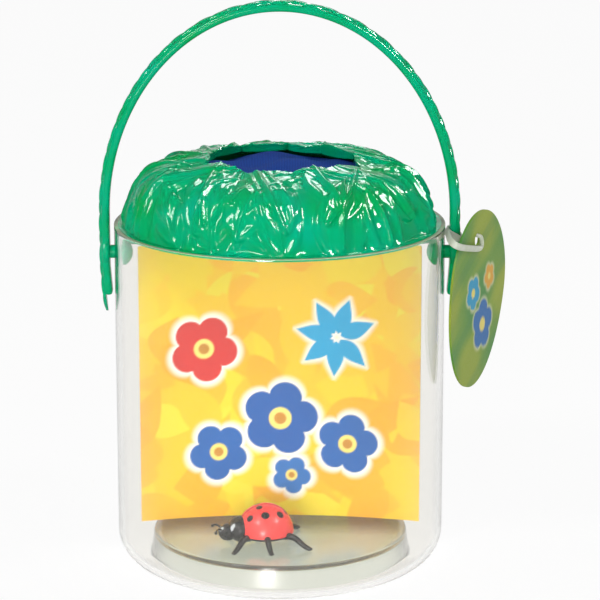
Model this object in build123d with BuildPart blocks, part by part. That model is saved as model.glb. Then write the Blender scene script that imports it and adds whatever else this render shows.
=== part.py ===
# Bug catcher jar: clear push-up jar, leaf-dome lid with a mesh window, swinging bail,
# standing insert card, hang tag on a strap and a toy ladybird on the floor.
# Millimetres, +Z up. The origin is on the jar's axis, on the plane that it stands on.
import os
from math import asin, cos, degrees, radians, sin, sqrt, tan

from build123d import *

# Jar
jar_radius = 57.0
jar_height = 120.0
jar_wall = 2.0
jar_corner = 11.0
floor_height = 10.5
floor_wall = 2.0
floor_draft = 1.1
moat_flat = 0.4
rim_round = 0.5
floor_round = 1.0

# Pivots of the bail
pivot_drop = 10.5
shank_radius = 2.3
shank_clearance = 0.06
rivet_head_radius = 4.6
rivet_head_height = 3.6
rivet_head_edge = 0.9
rivet_head_gap = 0.3
socket_depth = 2.3

# Lid
lid_setback = 1.0
lid_height = 23.1
lid_wall = 2.2
lid_edge = 0.8
lid_step = 1.6
shoulder_setback = 8.1
shoulder_height = 15.4
crown_radius = 36.0
crown_fall = 2.4
window_radius = 31.0
window_lobes = 11
lobe_reach = 4.0
plug_depth = 1.2
plug_wall = 1.8
plug_clearance = 0.2

# Mesh window in the lid
seat_radius = 37.5
seat_wall = 2.0
ring_head_room = 0.4
mesh_thick = 0.6
ring_lip = 3.0
ring_lip_thick = 1.5
ring_sleeve = 1.9
ring_grip = 2.4
ring_clearance = 0.05

# Bail
bail_gap = 1.3
bail_thick = 3.2
bail_width = 6.5
bail_round = 1.1
leg_rise = 13.2
arch_rise = 71.6
tab_drop = 17.0
tab_bend = 5.0
tab_lean = 0.8
boss_radius = 5.0

# Insert card
card_side_gap = 1.5
card_height = 100.0
card_thick = 0.6
card_bend = 170.0
card_back = 10.7

# Hang tag
tag_length = 62.0
tag_width = 50.0
tag_upper = 26.0
tag_shift = 2.5
tag_thick = 0.8
tag_lean = 16.0
tag_turn = 65.0
tag_reach = 6.3
tag_hang = 5.7
tag_drop = 17.9
tag_hole_radius = 2.25

# Strap of the tag
strap_thick = 0.7
strap_height = 2.4
strap_slope = 29.0
strap_gap = 0.3
strap_rise = 6.3
strap_bend = 0.9
strap_stand_off = 1.7
strap_wrap = 19.5
hook_width = 2.0
hook_radius = 0.7
hook_slack = 0.1
bulb_radius = 1.2
bulb_gap = 0.3

# Toy ladybird
bug_x = -5.0
bug_y = -19.0
bug_heading = 190.0
foot_gap = 0.1
shell_radius = 9.8
belly_rise = 4.0
belly_gap = 1.6
belly_inset = 2.2
collar_radius = 5.0
collar_reach = 9.0
collar_rise = 5.4
head_radius = 3.7
head_reach = 13.4
head_rise = 4.2
leg_radius = 0.8
hip_reach = 6.0
hip_depth = 2.0
knee_place = 0.5
knee_rise = 3.1
fit_gap = 0.1

# Each pair of legs: how far ahead its hips and its feet are, and how far out the feet stand
leg_pairs = [(6.0, 11.0, 10.5), (0.5, 0.5, 13.5), (-5.0, -12.0, 10.5)]

os.makedirs("parts", exist_ok=True)

# Places that several pieces share
jar_bore = jar_radius - jar_wall
foot_radius = jar_radius - jar_corner
floor_radius = foot_radius - moat_flat - floor_draft
pivot_z = jar_height - pivot_drop
lid_radius = jar_radius - lid_setback
plug_radius = jar_bore - plug_clearance
crown_z = jar_height + lid_height
crown_edge = crown_z - crown_fall
shoulder = (lid_radius - shoulder_setback, jar_height + shoulder_height)
shoulder_inside = (shoulder[0] - 0.75 * lid_wall, shoulder[1] - 0.66 * lid_wall)
ring_bore = seat_radius + ring_clearance
ring_outer = ring_bore + ring_sleeve
crown_under = crown_edge - lid_wall
under_fall = (crown_under - shoulder_inside[1]) / (shoulder_inside[0] - crown_radius)
ring_top = crown_under - under_fall * (ring_outer - crown_radius) - ring_head_room
seat_z = ring_top - ring_grip
bail_inner = jar_radius + bail_gap
bail_outer = bail_inner + bail_thick
bail_middle = bail_inner + bail_thick / 2
arch_z = pivot_z + leg_rise

# Clear jar with a push-up floor, a moat round it and two pivot holes
with BuildPart() as jar:
    with BuildSketch(Plane.XZ):
        with BuildLine():
            Polyline(
                (0, floor_height - floor_wall),
                (floor_radius - floor_wall, floor_height - floor_wall),
                (floor_radius - floor_wall + floor_draft, 0),
                (foot_radius, 0),
            )
            CenterArc((foot_radius, jar_corner), jar_corner, -90, 90)
            Polyline(
                (jar_radius, jar_corner),
                (jar_radius, jar_height),
                (jar_bore, jar_height),
                (jar_bore, jar_corner),
            )
            CenterArc((foot_radius, jar_corner), jar_corner - jar_wall, 0, -90)
            Polyline(
                (foot_radius, jar_wall),
                (floor_radius + floor_draft, jar_wall),
                (floor_radius, floor_height),
                (0, floor_height),
                (0, floor_height - floor_wall),
            )
        make_face()
    revolve(axis=Axis.Z)
    fillet(jar.edges().group_by(Axis.Z)[-1], rim_round)
    floor_edges = [
        edge
        for edge in jar.edges().filter_by(GeomType.CIRCLE)
        if abs(edge.arc_center.Z - floor_height) < 0.01 and abs(edge.radius - floor_radius) < 0.01
    ]
    fillet(floor_edges, floor_round)
    with BuildSketch(Plane.YZ):
        with Locations((0, pivot_z)):
            Circle(shank_radius + shank_clearance)
    extrude(amount=jar_radius + 1, both=True, mode=Mode.SUBTRACT)
jar.part.label = "jar"
export_step(jar.part, "parts/jar.step")

# Lid: a domed shell that seats on the rim, with a lobed window and a wall that seats the mesh
window_core = window_radius - 2 * lobe_reach
crown_slope = (window_core - crown_radius, crown_fall)
with BuildPart() as lid:
    with BuildSketch(Plane.XZ):
        with BuildLine():
            Polyline(
                (lid_radius, jar_height),
                (lid_radius, jar_height + lid_edge),
                (lid_radius - lid_step, jar_height + lid_edge),
            )
            Spline(
                (lid_radius - lid_step, jar_height + lid_edge),
                shoulder,
                (crown_radius, crown_edge),
                tangents=[(-0.25, 1), crown_slope],
            )
            Polyline(
                (crown_radius, crown_edge),
                (window_core, crown_z),
                (window_core, crown_z - lid_wall),
                (crown_radius, crown_under),
            )
            Spline(
                (crown_radius, crown_under),
                shoulder_inside,
                (plug_radius - plug_wall, jar_height + lid_edge),
                tangents=[(-crown_slope[0], -crown_slope[1]), (0.2, -1)],
            )
            Polyline(
                (plug_radius - plug_wall, jar_height + lid_edge),
                (plug_radius - plug_wall, jar_height - plug_depth),
                (plug_radius, jar_height - plug_depth),
                (plug_radius, jar_height),
                (lid_radius, jar_height),
            )
        make_face()
    revolve(axis=Axis.Z)
    with BuildSketch(Plane.XZ):
        with BuildLine():
            Polyline(
                (seat_radius - seat_wall, seat_z),
                (seat_radius, seat_z),
                (seat_radius, crown_edge - lid_wall / 2),
                (seat_radius - seat_wall, crown_edge - lid_wall / 2),
                close=True,
            )
        make_face()
    revolve(axis=Axis.Z)
    with BuildSketch(Plane.XY.offset(seat_z)):
        with BuildLine():
            for lobe in range(window_lobes):
                turn = radians(360 / window_lobes)
                first = lobe * turn
                middle = first + turn / 2
                last = first + turn
                ThreePointArc(
                    (window_radius * cos(first), window_radius * sin(first)),
                    ((window_radius - lobe_reach) * cos(middle), (window_radius - lobe_reach) * sin(middle)),
                    (window_radius * cos(last), window_radius * sin(last)),
                )
        make_face()
    extrude(amount=lid_height, mode=Mode.SUBTRACT)
lid.part.label = "lid"
export_step(lid.part, "parts/lid.step")

# Mesh disc, clamped between the lid's seat and its ring
with BuildPart() as mesh_panel:
    with BuildSketch(Plane.XY.offset(seat_z - mesh_thick)):
        Circle(seat_radius)
    extrude(amount=mesh_thick)
mesh_panel.part.label = "mesh_panel"
export_step(mesh_panel.part, "parts/mesh_panel.step")

# Ring pressed over the seat wall from below
lip_top = seat_z - mesh_thick
with BuildPart() as mesh_ring:
    with BuildSketch(Plane.XZ):
        with BuildLine():
            Polyline(
                (seat_radius - ring_lip, lip_top - ring_lip_thick),
                (ring_outer, lip_top - ring_lip_thick),
                (ring_outer, ring_top),
                (ring_bore, ring_top),
                (ring_bore, lip_top),
                (seat_radius - ring_lip, lip_top),
                close=True,
            )
        make_face()
    revolve(axis=Axis.Z)
mesh_ring.part.label = "mesh_ring"
export_step(mesh_ring.part, "parts/mesh_ring.step")

# Bail: an elliptical arch on two legs, with a boss and a leaning tab at each pivot
tab_end = pivot_z - tab_drop + bail_thick / 2
with BuildPart() as handle:
    with BuildSketch(Plane.XZ):
        with BuildLine():
            EllipticalCenterArc((0, arch_z), bail_outer, arch_rise + bail_thick / 2, 0, arc_size=180)
            EllipticalCenterArc((0, arch_z), bail_inner, arch_rise - bail_thick / 2, 0, arc_size=180)
            for side in (1, -1):
                Polyline(
                    (side * bail_outer, arch_z),
                    (side * bail_outer, pivot_z - tab_bend),
                    (side * (bail_outer - tab_lean), tab_end),
                )
                ThreePointArc(
                    (side * (bail_outer - tab_lean), tab_end),
                    (side * (bail_middle - tab_lean), tab_end - bail_thick / 2),
                    (side * (bail_inner - tab_lean), tab_end),
                )
                Polyline(
                    (side * (bail_inner - tab_lean), tab_end),
                    (side * bail_inner, pivot_z - tab_bend),
                    (side * bail_inner, arch_z),
                )
        make_face()
    extrude(amount=bail_width / 2, both=True)
    fillet(handle.faces().sort_by(Axis.Y)[0].edges(), bail_round)
    fillet(handle.faces().sort_by(Axis.Y)[-1].edges(), bail_round)
    for side in (1, -1):
        pivot_plane = Plane(origin=(side * bail_inner, 0, pivot_z), x_dir=(0, 1, 0), z_dir=(side, 0, 0))
        with BuildSketch(pivot_plane):
            Circle(boss_radius)
        extrude(amount=bail_thick)
        with BuildSketch(pivot_plane):
            Circle(shank_radius)
        extrude(amount=socket_depth, mode=Mode.SUBTRACT)
handle.part.label = "handle"
export_step(handle.part, "parts/handle.step")

# Rivets that hold the bail: a domed head inside the jar and a shank through its wall
head_seat = sqrt(jar_bore**2 - rivet_head_radius**2) - rivet_head_gap
pivot_axis = Axis((0, 0, pivot_z), (1, 0, 0))
with BuildPart() as right_pivot_rivet:
    with BuildSketch(Plane.XZ):
        with BuildLine():
            TangentArc(
                (head_seat - rivet_head_height, pivot_z),
                (head_seat - rivet_head_edge, pivot_z + rivet_head_radius),
                tangent=(0, 1),
            )
            Polyline(
                (head_seat - rivet_head_edge, pivot_z + rivet_head_radius),
                (head_seat, pivot_z + rivet_head_radius),
                (head_seat, pivot_z + shank_radius),
                (bail_inner + socket_depth, pivot_z + shank_radius),
                (bail_inner + socket_depth, pivot_z),
                (head_seat - rivet_head_height, pivot_z),
            )
        make_face()
    revolve(axis=pivot_axis)
right_pivot_rivet.part.label = "right_pivot_rivet"
export_step(right_pivot_rivet.part, "parts/right_pivot_rivet.step")

with BuildPart() as left_pivot_rivet:
    mirror(right_pivot_rivet.part, about=Plane.YZ)
left_pivot_rivet.part.label = "left_pivot_rivet"
export_step(left_pivot_rivet.part, "parts/left_pivot_rivet.step")

# Card that stands across the jar between the rivet heads, bowed away from the front
card_centre = (0, card_back - card_bend)
card_reach = head_seat - rivet_head_height - card_side_gap
card_half = degrees(asin(card_reach / card_bend))
with BuildPart() as insert_card:
    with BuildSketch(Plane.XY.offset(floor_height)):
        with BuildLine():
            back = CenterArc(card_centre, card_bend + card_thick / 2, 90 - card_half, 2 * card_half)
            front = CenterArc(card_centre, card_bend - card_thick / 2, 90 - card_half, 2 * card_half)
            Line(back @ 0, front @ 0)
            Line(back @ 1, front @ 1)
        make_face()
    extrude(amount=card_height)
insert_card.part.label = "insert_card"
export_step(insert_card.part, "parts/insert_card.step")

# Hang tag: an egg-shaped plate that hangs on the strap's hook and faces out past the jar
tag_along = (cos(radians(tag_turn)), sin(radians(tag_turn)))
tag_facing = (sin(radians(tag_turn)), -cos(radians(tag_turn)))
hook_x = bail_outer + tag_reach
hook_z = pivot_z + tag_hang
tag_plane = Plane(origin=(hook_x, 0, hook_z), x_dir=(*tag_along, 0), z_dir=(*tag_facing, 0))
with BuildPart() as tag:
    with BuildSketch(tag_plane):
        with BuildLine():
            EllipticalCenterArc(
                (tag_shift, -tag_drop),
                tag_width / 2,
                tag_upper,
                0,
                arc_size=180,
                rotation=-tag_lean,
            )
            EllipticalCenterArc(
                (tag_shift, -tag_drop),
                tag_width / 2,
                tag_length - tag_upper,
                180,
                arc_size=180,
                rotation=-tag_lean,
            )
        make_face()
        with Locations((0, hook_radius + hook_slack - tag_hole_radius)):
            Circle(tag_hole_radius, mode=Mode.SUBTRACT)
    extrude(amount=tag_thick / 2, both=True)
tag.part.label = "tag"
export_step(tag.part, "parts/tag.step")


# Point of the tag's plan, along its face and out from it
def beside_tag(along, out):
    return (
        hook_x + along * tag_along[0] + out * tag_facing[0],
        along * tag_along[1] + out * tag_facing[1],
    )


# Strap: an eye round the right leg, an arm round the tag's edge and a hook through its hole
eye_reach = strap_gap + strap_thick / 2
eye_length = bail_thick + 2 * eye_reach
eye_depth = bail_width + 2 * eye_reach
strap_low = pivot_z - boss_radius
slope = radians(strap_slope)
hook_drop = tan(slope) * (beside_tag(0, strap_stand_off)[0] - bail_middle) + tag_hang - strap_rise
with BuildPart() as tag_strap:
    with BuildSketch(Plane.XY.offset(strap_low)):
        with Locations((bail_middle, 0)):
            RectangleRounded(
                eye_length + strap_thick, eye_depth + strap_thick, strap_bend + strap_thick / 2
            )
            RectangleRounded(
                eye_length - strap_thick,
                eye_depth - strap_thick,
                strap_bend - strap_thick / 2,
                mode=Mode.SUBTRACT,
            )
        with BuildLine() as arm:
            FilletPolyline(
                (bail_middle - eye_length / 2, 0),
                (bail_middle - eye_length / 2, -eye_depth / 2),
                beside_tag(-strap_wrap, -strap_stand_off),
                beside_tag(-strap_wrap, strap_stand_off),
                beside_tag(hook_width / 2, strap_stand_off),
                radius=strap_bend,
            )
        trace(arm.line, line_width=strap_thick)
    extrude(amount=boss_radius + tag_drop)
    slope_plane = Plane(
        origin=(bail_middle, 0, pivot_z + strap_rise),
        x_dir=(cos(slope), 0, -sin(slope)),
        z_dir=(sin(slope), 0, cos(slope)),
    )
    with BuildSketch(slope_plane):
        Rectangle(4 * bail_outer, 4 * bail_outer)
    extrude(amount=strap_height / 2, both=True, mode=Mode.INTERSECT)
    with BuildSketch(tag_plane.offset(strap_stand_off)):
        with Locations((0, (hook_radius - hook_drop) / 2)):
            Rectangle(hook_width, hook_drop + hook_radius)
    extrude(amount=strap_thick / 2, both=True)
    with BuildSketch(tag_plane.offset(strap_stand_off)):
        Circle(hook_radius)
    extrude(amount=-(strap_stand_off + tag_thick / 2 + bulb_gap + bulb_radius))
    with Locations(tag_plane.offset(-(tag_thick / 2 + bulb_gap + bulb_radius)).location):
        Sphere(bulb_radius)
tag_strap.part.label = "tag_strap"
export_step(tag_strap.part, "parts/tag_strap.step")

# Toy ladybird: it stands on the jar's floor and faces along its heading
ahead = (cos(radians(bug_heading)), sin(radians(bug_heading)))
bug_z = floor_height + foot_gap
bug_plane = Plane(origin=(bug_x, bug_y, bug_z), x_dir=(*ahead, 0), z_dir=(0, 0, 1))
bug_side = Plane(origin=(bug_x, bug_y, bug_z), x_dir=(*ahead, 0), z_dir=(ahead[1], -ahead[0], 0))
bug_axis = Axis((bug_x, bug_y, bug_z), (0, 0, 1))

# Red wing cases, flat underneath
with BuildPart() as bug_shell:
    with BuildSketch(bug_side):
        with BuildLine():
            dome = CenterArc((0, belly_rise), shell_radius, 0, 90)
            Polyline(dome @ 0, (0, belly_rise), dome @ 1)
        make_face()
    revolve(axis=bug_axis)
bug_shell.part.label = "bug_shell"
export_step(bug_shell.part, "parts/bug_shell.step")

# Black belly, collar, head and legs in one moulding, with room for the wing cases
with BuildPart() as bug_body:
    with Locations(bug_plane.location * Location((collar_reach, 0, collar_rise))):
        Sphere(collar_radius)
    with Locations(bug_plane.location * Location((head_reach, 0, head_rise))):
        Sphere(head_radius)
    with BuildSketch(bug_side):
        with BuildLine():
            room = CenterArc((0, belly_rise), shell_radius + fit_gap, 0, 90)
            Polyline(room @ 0, (0, belly_rise), room @ 1)
        make_face()
    revolve(axis=bug_axis, mode=Mode.SUBTRACT)
    with BuildSketch(bug_side):
        with BuildLine():
            Polyline(
                (0, belly_gap),
                (shell_radius - belly_inset, belly_gap),
                (shell_radius, belly_rise),
                (0, belly_rise),
                close=True,
            )
        make_face()
    revolve(axis=bug_axis)
    for hip_ahead, foot_ahead, foot_out in leg_pairs:
        leg_ahead = foot_ahead - hip_ahead
        leg_out = foot_out - hip_reach
        leg_reach = sqrt(leg_ahead**2 + leg_out**2)
        knee_reach = knee_place * leg_reach
        for side in (1, -1):
            hip = bug_plane.from_local_coords((hip_ahead, side * hip_reach, 0))
            foot = bug_plane.from_local_coords((foot_ahead, side * foot_out, 0))
            leg_plane = Plane(origin=hip, x_dir=foot - hip, z_dir=(foot - hip).cross(Vector(0, 0, 1)))
            with BuildSketch(leg_plane):
                with BuildLine():
                    Polyline(
                        (-hip_depth, belly_rise - 2 * leg_radius),
                        (-hip_depth, belly_rise - leg_radius / 2),
                        (knee_reach, knee_rise + leg_radius),
                        (leg_reach + leg_radius, leg_radius),
                        (leg_reach + leg_radius, 0),
                        (leg_reach - leg_radius, 0),
                        (knee_reach, knee_rise - leg_radius),
                        close=True,
                    )
                make_face()
            extrude(amount=leg_radius, both=True)
bug_body.part.label = "bug_body"
export_step(bug_body.part, "parts/bug_body.step")
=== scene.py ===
import math

import bpy
import numpy as np
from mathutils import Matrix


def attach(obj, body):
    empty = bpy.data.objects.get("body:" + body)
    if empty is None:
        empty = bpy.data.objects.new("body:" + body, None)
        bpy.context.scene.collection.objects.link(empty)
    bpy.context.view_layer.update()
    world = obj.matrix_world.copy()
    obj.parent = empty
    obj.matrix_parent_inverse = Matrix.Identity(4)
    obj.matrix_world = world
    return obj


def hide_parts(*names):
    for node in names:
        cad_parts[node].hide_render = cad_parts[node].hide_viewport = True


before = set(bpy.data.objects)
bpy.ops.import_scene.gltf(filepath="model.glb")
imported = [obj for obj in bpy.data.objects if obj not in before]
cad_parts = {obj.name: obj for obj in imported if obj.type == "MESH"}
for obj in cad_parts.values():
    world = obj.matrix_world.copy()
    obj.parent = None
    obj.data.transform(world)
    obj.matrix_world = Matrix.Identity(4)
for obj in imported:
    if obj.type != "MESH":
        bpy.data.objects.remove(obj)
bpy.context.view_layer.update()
scene = bpy.context.scene
scene.view_settings.view_transform = "Standard"
mm = 0.001


def linear(hexColour):
    parts = [int(hexColour[i:i + 2], 16) / 255 for i in (1, 3, 5)]
    return tuple(c / 12.92 if c <= 0.04045 else ((c + 0.055) / 1.055) ** 2.4 for c in parts) + (1.0,)


def addNode(tree, kind, settings=None, links=None):
    node = tree.nodes.new(kind)
    for key, value in (settings or {}).items():
        if isinstance(key, int) or key in node.inputs:
            node.inputs[key].default_value = value
        else:
            setattr(node, key, value)
    for key, source in (links or {}).items():
        tree.links.new(source, node.inputs[key])
    return node


def startMaterial(name, settings):
    material = bpy.data.materials.new(name)
    material.use_nodes = True
    tree = material.node_tree
    tree.nodes.clear()
    shader = addNode(tree, "ShaderNodeBsdfPrincipled", settings)
    addNode(tree, "ShaderNodeOutputMaterial", None, {"Surface": shader.outputs[0]})
    return material, tree, shader


def newPiece(name, points, faces, material, body, nodes=(), smoothAngle=35):  # points in millimetres
    mesh = bpy.data.meshes.new(name)
    mesh.from_pydata((np.asarray(points, float) * mm).tolist(), [], [list(map(int, f)) for f in faces])
    mesh.validate()
    mesh.shade_smooth()
    mesh.set_sharp_from_angle(angle=math.radians(smoothAngle))
    mesh.materials.append(material)
    piece = bpy.data.objects.new(name, mesh)
    scene.collection.objects.link(piece)
    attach(piece, body)
    if nodes:
        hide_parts(*nodes)
    return piece


def keepResult(piece):  # makes what the modifiers give the piece's own mesh
    bpy.context.view_layer.update()
    made = bpy.data.meshes.new_from_object(piece.evaluated_get(bpy.context.evaluated_depsgraph_get()))
    piece.modifiers.clear()
    piece.data = made


def gridFaces(rows, columns, wrapRows=False, wrapColumns=True, flip=False):
    faces = []
    for i in range(rows if wrapRows else rows - 1):
        for j in range(columns if wrapColumns else columns - 1):
            k, n = (i + 1) % rows, (j + 1) % columns
            quad = (i * columns + j, i * columns + n, k * columns + n, k * columns + j)
            faces.append(quad[::-1] if flip else quad)
    return faces


def tubeFaces(rows, columns):  # a tube with flat ends
    last = (rows - 1) * columns
    ends = [list(range(columns - 1, -1, -1)), list(range(last, last + columns))]
    return gridFaces(rows, columns) + ends


def shifted(faces, base):  # the same faces, for points that come later in the list
    return [tuple(k + base for k in f) for f in faces]


def roundTurns(count):  # angles that share out a full turn
    return np.linspace(0, 2 * math.pi, count, endpoint=False)


def arcPoints(centre, radius, first, last, count):
    angles = np.radians(np.linspace(first, last, count))
    return [(centre[0] + radius * math.cos(a), centre[1] + radius * math.sin(a)) for a in angles]


def revolve(profile, segments):  # radius and height, from axis to axis
    turns = roundTurns(segments)
    rings = profile[1:-1]
    points = [(r * math.cos(t), r * math.sin(t), z) for r, z in rings for t in turns]
    faces = gridFaces(len(rings), segments)
    first, last = len(points), len(points) + 1
    points += [(0, 0, profile[0][1]), (0, 0, profile[-1][1])]
    top = (len(rings) - 1) * segments
    for j in range(segments):
        n = (j + 1) % segments
        faces.append((first, n, j))
        faces.append((last, top + j, top + n))
    return points, faces


def makeBall(centre, radii, rows, columns):
    points, faces = revolve(arcPoints((0, 0), 1, -90, 90, rows), columns)
    return np.array(points) * np.array(radii) + np.array(centre), faces


def runAlong(line):  # how far along a line each of its points lies
    return np.concatenate([[0], np.cumsum(np.linalg.norm(np.diff(line, axis=0), axis=1))])


def spaceEvenly(line, count):  # a flat line in equal steps, and how far along each step lies
    run = runAlong(line)
    at = np.linspace(0, run[-1], count)
    return np.stack([np.interp(at, run, line[:, 0]), np.interp(at, run, line[:, 1])], 1), at


def squarish(value, power):  # draws a sine or cosine towards the corners of a square
    return np.sign(value) * np.abs(value) ** power


def softStep(value, low, high):
    t = np.clip((value - low) / (high - low), 0, 1)
    return t * t * (3 - 2 * t)


def layOver(colours, share, hexColour):  # lays a colour over what is already painted
    ink = np.array(linear(hexColour)[:3])
    return colours * (1 - share[..., None]) + ink * share[..., None]


def paint(piece, colours):  # colours are linear, one for each point
    attribute = piece.data.color_attributes.new("ink", "FLOAT_COLOR", "POINT")
    full = np.ones((len(piece.data.vertices), 4))
    full[:, :3] = np.asarray(colours)[:, :3]
    attribute.data.foreach_set("color", full.ravel())


noiseSpan = {"From Min": 0.3, "From Max": 0.7}  # where most of a noise node's values lie

# Clear polystyrene: very glossy walls with faint flow marks, and a floor that is textured and carries painted
# shade
clearStyrene, tree, shader = startMaterial("clearStyrene", {"Transmission Weight": 1.0, "IOR": 1.5})
place = addNode(tree, "ShaderNodeTexCoord")
flow = addNode(tree, "ShaderNodeTexNoise", {"Scale": 1 / (30 * mm)}, {"Vector": place.outputs["Object"]})
parts = addNode(tree, "ShaderNodeSeparateXYZ", None, {0: place.outputs["Object"]})
plan = addNode(
    tree, "ShaderNodeVectorMath", {"operation": "MULTIPLY", 1: (1, 1, 0)}, {0: place.outputs["Object"]}
)
away = addNode(tree, "ShaderNodeVectorMath", {"operation": "LENGTH"}, {0: plan.outputs[0]})
# The raised floor: painted shade in a pale warm tone that stands in for the yellow card's light, and a darker
# painted shadow where it lies by the card
onFloor = addNode(
    tree,
    "ShaderNodeMapRange",
    {"From Min": 44.8 * mm, "From Max": 44.2 * mm},
    {"Value": away.outputs["Value"]},
)
belowTop = addNode(
    tree, "ShaderNodeMapRange", {"From Min": 11.2 * mm, "From Max": 10.6 * mm}, {"Value": parts.outputs["Z"]}
)
floorShare = addNode(
    tree, "ShaderNodeMath", {"operation": "MULTIPLY"}, {0: onFloor.outputs[0], 1: belowTop.outputs[0]}
)
pastCard = addNode(tree, "ShaderNodeMath", {"operation": "SUBTRACT", 1: 8 * mm}, {0: parts.outputs["Y"]})
fromCard = addNode(tree, "ShaderNodeMath", {"operation": "ABSOLUTE"}, {0: pastCard.outputs[0]})
# Painted shadow of the card: darkest within 5 mm of it, gone 19 mm away
cardShadow = addNode(
    tree, "ShaderNodeMapRange", {"From Min": 19 * mm, "From Max": 5 * mm}, {"Value": fromCard.outputs[0]}
)
floorShade = addNode(
    tree,
    "ShaderNodeMix",
    {"data_type": "RGBA", 6: linear("#d4dbc9"), 7: linear("#66656a")},
    {0: cardShadow.outputs[0]},
)
# The walls keep a faint tint of their own; the floor takes the painted shade and shadow
tintAndFloorShade = addNode(
    tree,
    "ShaderNodeMix",
    {"data_type": "RGBA", 6: linear("#f8f7f4")},
    {0: floorShare.outputs[0], 7: floorShade.outputs[2]},
)
tree.links.new(tintAndFloorShade.outputs[2], shader.inputs["Base Color"])
gloss = addNode(
    tree, "ShaderNodeMapRange", {**noiseSpan, "To Min": 0.01, "To Max": 0.04}, {"Value": flow.outputs[0]}
)
frost = addNode(
    tree,
    "ShaderNodeMath",
    {"operation": "MULTIPLY_ADD", 1: 0.2},
    {0: floorShare.outputs[0], 2: gloss.outputs[0]},
)
tree.links.new(frost.outputs[0], shader.inputs["Roughness"])
ripple = addNode(
    tree, "ShaderNodeBump", {"Strength": 0.25, "Distance": 0.05 * mm}, {"Height": flow.outputs[0]}
)
tree.links.new(ripple.outputs[0], shader.inputs["Normal"])


def milkyMaterial(name, clear, grain, tones, gloss):  # a tone and a gloss that drift together
    material, milkTree, milkShader = startMaterial(name, {"Transmission Weight": clear, "IOR": 1.5})
    where = addNode(milkTree, "ShaderNodeTexCoord")
    cloud = addNode(
        milkTree, "ShaderNodeTexNoise", {"Scale": 1 / (grain * mm)}, {"Vector": where.outputs["Object"]}
    )
    drift = addNode(milkTree, "ShaderNodeMapRange", noiseSpan, {"Value": cloud.outputs[0]})
    milk = addNode(
        milkTree,
        "ShaderNodeMix",
        {"data_type": "RGBA", 6: linear(tones[0]), 7: linear(tones[1])},
        {0: drift.outputs[0]},
    )
    milkTree.links.new(milk.outputs[2], milkShader.inputs["Base Color"])
    sheen = addNode(
        milkTree,
        "ShaderNodeMapRange",
        {**noiseSpan, "To Min": gloss[0], "To Max": gloss[1]},
        {"Value": cloud.outputs[0]},
    )
    milkTree.links.new(sheen.outputs[0], milkShader.inputs["Roughness"])
    return material


# The same plastic at the rim: a little hazy, so that it catches the light, and tinted pale lime as a painted
# lit line
rimLitLineStyrene = milkyMaterial("rimLitLineStyrene", 0.5, 2, ("#d5e2ae", "#e6ecd0"), (0.12, 0.22))
# Nylon, moulded milky: lets some light through and has a soft gloss
milkyNylon = milkyMaterial("milkyNylon", 0.3, 3, ("#dfe6cf", "#f2f4ea"), (0.3, 0.42))

# Polypropylene, injection moulded and glossy: a strong green that drifts a little in tone
greenPolypropylene, tree, shader = startMaterial(
    "greenPolypropylene", {"IOR": 1.49, "Specular IOR Level": 0.09}
)
place = addNode(tree, "ShaderNodeTexCoord")
drift = addNode(tree, "ShaderNodeTexNoise", {"Scale": 1 / (18 * mm)}, {"Vector": place.outputs["Object"]})
share = addNode(tree, "ShaderNodeMapRange", noiseSpan, {"Value": drift.outputs[0]})
tone = addNode(
    tree,
    "ShaderNodeMix",
    {"data_type": "RGBA", 6: linear("#00a656"), 7: linear("#00b288")},
    {0: share.outputs[0]},
)
tree.links.new(tone.outputs[2], shader.inputs["Base Color"])
skin = addNode(tree, "ShaderNodeTexNoise", {"Scale": 1 / (1.5 * mm)}, {"Vector": place.outputs["Object"]})
gloss = addNode(
    tree, "ShaderNodeMapRange", {**noiseSpan, "To Min": 0.07, "To Max": 0.12}, {"Value": skin.outputs[0]}
)
tree.links.new(gloss.outputs[0], shader.inputs["Roughness"])
ripple = addNode(
    tree, "ShaderNodeBump", {"Strength": 0.35, "Distance": 0.02 * mm}, {"Height": skin.outputs[0]}
)
tree.links.new(ripple.outputs[0], shader.inputs["Normal"])

# Woven polyester mesh: dull navy threads, 0.55 mm apart, so close that they read as a fine grain
meshPolyester, tree, shader = startMaterial("meshPolyester", {"Roughness": 0.85, "Specular IOR Level": 0.2})
place = addNode(tree, "ShaderNodeTexCoord")
threads = 0.314 / (0.55 * mm)  # a wave node has a band every 0.314 over its scale
warp = addNode(
    tree, "ShaderNodeTexWave", {"bands_direction": "X", "Scale": threads}, {0: place.outputs["Object"]}
)
weft = addNode(
    tree, "ShaderNodeTexWave", {"bands_direction": "Y", "Scale": threads}, {0: place.outputs["Object"]}
)
weave = addNode(
    tree, "ShaderNodeMath", {"operation": "MAXIMUM"}, {0: warp.outputs["Fac"], 1: weft.outputs["Fac"]}
)
thread = addNode(
    tree,
    "ShaderNodeMix",
    {"data_type": "RGBA", 6: linear("#0d2068"), 7: linear("#2450ac")},
    {0: weave.outputs[0]},
)
tree.links.new(thread.outputs[2], shader.inputs["Base Color"])
ripple = addNode(
    tree, "ShaderNodeBump", {"Strength": 0.6, "Distance": 0.15 * mm}, {"Height": weave.outputs[0]}
)
tree.links.new(ripple.outputs[0], shader.inputs["Normal"])


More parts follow.
